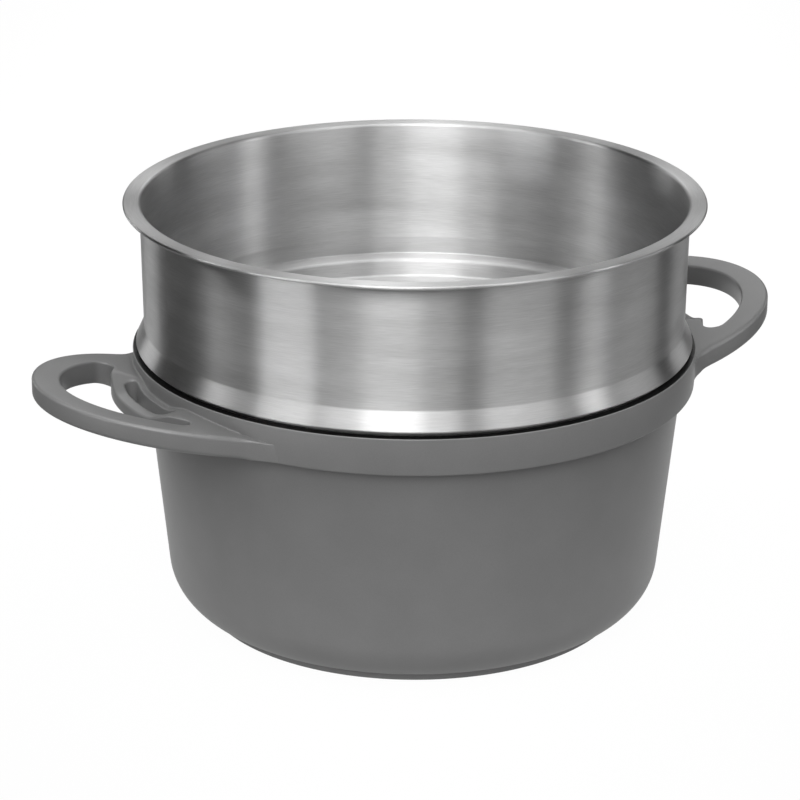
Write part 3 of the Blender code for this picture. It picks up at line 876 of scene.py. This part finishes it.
def insert_profile():
    """Down the outside from the flange to the floor, across it, and up the inside again."""
    under = FLANGE_TOP - SHEET
    hem = HEM_THICKNESS / 2
    hem_end = FLANGE_RADIUS - HEM_WIDTH
    bend_r = INSERT_WALL_TOP_RADIUS + FLANGE_BEND
    bend_z = under - FLANGE_BEND
    flare_r = INSERT_WALL_FOOT_RADIUS + FLARE_RADIUS
    edge = SHOULDER_RADIUS
    lean = math.degrees(math.atan2(edge - INSERT_WALL_FOOT_RADIUS, FLARE_TOP - SHOULDER_EDGE))
    upper = SHEET * math.hypot(1.0, SEAT_SLOPE)
    low_in = LOWER_WALL_RADIUS - SHEET
    low_round = LOWER_WALL_ROUND - SHEET
    shoulder_in = edge - SHOULDER_INSET

    def ledge(radius):
        return RIM_TOP + SEAT_GAP + (radius - SEAT_OUTER_RADIUS) * SEAT_SLOPE

    points = arc(FLANGE_RADIUS - hem, FLANGE_TOP - hem, hem, 90.0, -90.0, 10)
    points += [(hem_end, FLANGE_TOP - HEM_THICKNESS), (hem_end - hem / 4, under)]
    points += arc(bend_r, bend_z, FLANGE_BEND, 90.0, 180.0, 6)
    points += arc(flare_r, FLARE_TOP, FLARE_RADIUS, 180.0, 180.0 + lean, 6)
    points += arc(edge - SHOULDER_ROUND, SHOULDER_EDGE - SHOULDER_ROUND / 3, SHOULDER_ROUND,
                  lean, -60.0, 8)
    points += [
        (LOWER_WALL_RADIUS + SHEET, ledge(LOWER_WALL_RADIUS + SHEET)),
        (LOWER_WALL_RADIUS + SHEET / 4, ledge(LOWER_WALL_RADIUS) - SHEET / 2),
        (LOWER_WALL_RADIUS, ledge(LOWER_WALL_RADIUS) - SHEET * 1.4),
    ]
    points += arc(LOWER_WALL_RADIUS - LOWER_WALL_ROUND, INSERT_FLOOR + LOWER_WALL_ROUND, LOWER_WALL_ROUND,
                  0.0, -90.0, 6)
    points += [(0.0, INSERT_FLOOR), (0.0, INSERT_FLOOR + SHEET)]
    points += arc(low_in - low_round, INSERT_FLOOR + SHEET + low_round, low_round, -90.0, 0.0, 6)
    points += arc(low_in + LEDGE_ROUND, ledge(low_in) + upper - LEDGE_ROUND_DEPTH, LEDGE_ROUND,
                  180.0, 90.0 + LEDGE_TILT, 5)
    points += arc(shoulder_in, ledge(shoulder_in) + upper + SHEET, SHEET, LEDGE_TILT - 90.0, lean, 6)
    points += arc(flare_r, FLARE_TOP, FLARE_RADIUS + SHEET, 180.0 + lean, 180.0, 6)
    points += arc(bend_r, bend_z, FLANGE_BEND + SHEET, 180.0, 90.0, 8)
    return points


# %% Steamer insert
def steamer():
    """The turned shell, with rings of holes through its floor."""
    obj = into_object(turn(insert_profile(), INSERT_STEPS), "steamer_basket", [steel])
    cutters = bmesh.new()
    pins(cutters, ring_places(HOLE_PITCH, HOLE_RINGS, True), HOLE_RADIUS, HOLE_SIDES,
         INSERT_FLOOR - 1.0, INSERT_FLOOR + 2.0)
    cut_by(obj, cutters)
    return obj


basket = steamer()
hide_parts("steamer_insert")
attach(basket, "insert")

# %% [markdown]
# ## Floor, backdrop and light
# The pot stands at the front of a white oval that runs away behind it, on a grey studio floor.
# The camera sees white wherever the floor is. Polished steel needs something to mirror: a row of
# tall soft boxes stands round the pot, and the upright bands on the steel are their reflections.

# %% Stage
FLOOR_SIZE = 6.0
OVAL_BEHIND = 0.85
OVAL_WIDE = 0.33
OVAL_LONG = 0.95
OVAL_EDGE = 0.25
FLOOR_WHITE = 1.05
FLOOR_SHOWN = 0.93
FLOOR_DROP = 0.0002


def floor_material():
    """White to the camera. Metal sees the oval white too; what lights the pot is the plain floor."""
    made, tree, shader = new_material("white_oval_on_grey_studio_floor", Roughness=0.8)
    place = add(tree, "ShaderNodeTexCoord").outputs["Object"]
    turned = add(tree, "ShaderNodeVectorRotate", {"Vector": place, "Angle": VIEW_TURN},
                 rotation_type="Z_AXIS").outputs[0]
    oval = add(tree, "ShaderNodeMapping", {"Vector": turned, "Location": (0.0, OVAL_BEHIND, 0.0),
                                           "Scale": (OVAL_WIDE, OVAL_LONG, 1.0)}, vector_type="TEXTURE")
    out = add(tree, "ShaderNodeVectorMath", {0: oval.outputs[0]}, operation="LENGTH").outputs["Value"]
    white = ramp(tree, out, 1.0, 0.0, 1.0 - OVAL_EDGE, 1.0 + OVAL_EDGE)
    tree.links.new(tint(tree, white, "#5c5c5c", "#c8c8c8"), shader.inputs["Base Color"])
    path = add(tree, "ShaderNodeLightPath").outputs
    clear = add(tree, "ShaderNodeMath", {0: path["Is Glossy Ray"], 1: path["Is Transmission Ray"]},
                operation="MAXIMUM")
    shown = add(tree, "ShaderNodeMath", {0: clear.outputs[0], 1: white}, operation="MULTIPLY")
    seen = add(tree, "ShaderNodeMath", {0: path["Is Camera Ray"], 1: shown.outputs[0]},
               operation="MAXIMUM")
    part = add(tree, "ShaderNodeMath", {0: seen.outputs[0], 1: FLOOR_SHOWN}, operation="MULTIPLY")
    glow = add(tree, "ShaderNodeEmission", {"Color": (1, 1, 1, 1), "Strength": FLOOR_WHITE})
    mixed = add(tree, "ShaderNodeMixShader", {0: part.outputs[0], 1: shader.outputs[0], 2: glow.outputs[0]})
    tree.links.new(mixed.outputs[0], tree.nodes["Material Output"].inputs["Surface"])
    return made


def floor():
    bm = bmesh.new()
    bmesh.ops.create_grid(bm, x_segments=1, y_segments=1, size=FLOOR_SIZE)
    obj = into_object(bm, "studio_floor", [floor_material()])
    obj.location.z = -FLOOR_DROP
    return obj


stage_floor = floor()
print("floor", stage_floor.name, "is", 2 * FLOOR_SIZE, "m wide, its white oval", 2 * OVAL_WIDE, "m")

# %% Lamps
LAMP_AIM = Vector((0.0, 0.0, 0.12))
WORLD_GLOW = 0.09


def lamp(name, turn_deg, height_deg, distance, width, tall, glow):
    """A soft box that looks at the pot, placed by its direction from the camera's side. Its
    power follows from its size and from how bright its face looks, where 1 is white."""
    light = bpy.data.lights.new(name, "AREA")
    light.shape = "RECTANGLE"
    light.size = width
    light.size_y = tall
    light.energy = glow * math.pi * width * tall
    obj = bpy.data.objects.new(name, light)
    obj.visible_camera = False
    bpy.context.scene.collection.objects.link(obj)
    a = math.radians(turn_deg - 90.0) - VIEW_TURN
    h = math.radians(height_deg)
    away = Vector((math.cos(a) * math.cos(h), math.sin(a) * math.cos(h), math.sin(h)))
    obj.location = LAMP_AIM + away * distance
    obj.rotation_euler = away.to_track_quat("Z", "Y").to_euler()
    return obj


# Each row: name, turn and height in degrees, distance, width, height of the box, brightness
LAMPS = (
    ("front_box", -9, 35, 2.0, 0.80, 0.85, 6.6),
    ("front_low_panel", -9, 5, 2.0, 0.80, 0.35, 1.0),
    ("front_left_box", -30, 28, 2.0, 0.50, 0.90, 2.3),
    ("front_right_box", 12, 28, 2.0, 0.40, 0.90, 2.7),
    ("low_left_box", -51, 4, 2.0, 0.85, 0.35, 7.4),
    ("left_panel", -53, 30, 2.0, 0.60, 0.90, 0.6),
    ("left_strip", -93, 38, 2.0, 0.30, 1.10, 5.4),
    ("right_panel", 46, 28, 2.0, 1.30, 0.90, 1.1),
    ("right_strip", 79, 27, 2.0, 0.32, 0.85, 4.4),
    ("far_right_panel", 104, 28, 2.0, 0.60, 0.90, 0.8),
    ("low_right_panel", 42, 4, 2.0, 1.05, 0.35, 2.8),
    ("low_far_right_panel", 89, 4, 2.0, 1.80, 0.35, 1.6),
    ("top_box", 0, 77, 1.8, 2.40, 1.90, 2.05),
    ("back_panel", 180, 27, 2.0, 1.60, 0.60, 1.45),
    ("low_back_left_panel", -134, 4, 2.0, 0.60, 0.35, 2.6),
    ("low_back_right_panel", 134, 4, 2.0, 0.60, 0.35, 1.6),
)
lamps = [lamp(*row) for row in LAMPS]

world = bpy.data.worlds.new("studio")
world.use_nodes = True
bpy.context.scene.world = world
sky = world.node_tree.nodes["Background"]
sky.inputs["Color"].default_value = linear("#c0c0c0")
sky.inputs["Strength"].default_value = WORLD_GLOW
print(len(lamps), "lamps, together", round(sum(l.data.energy for l in lamps), 1), "W")
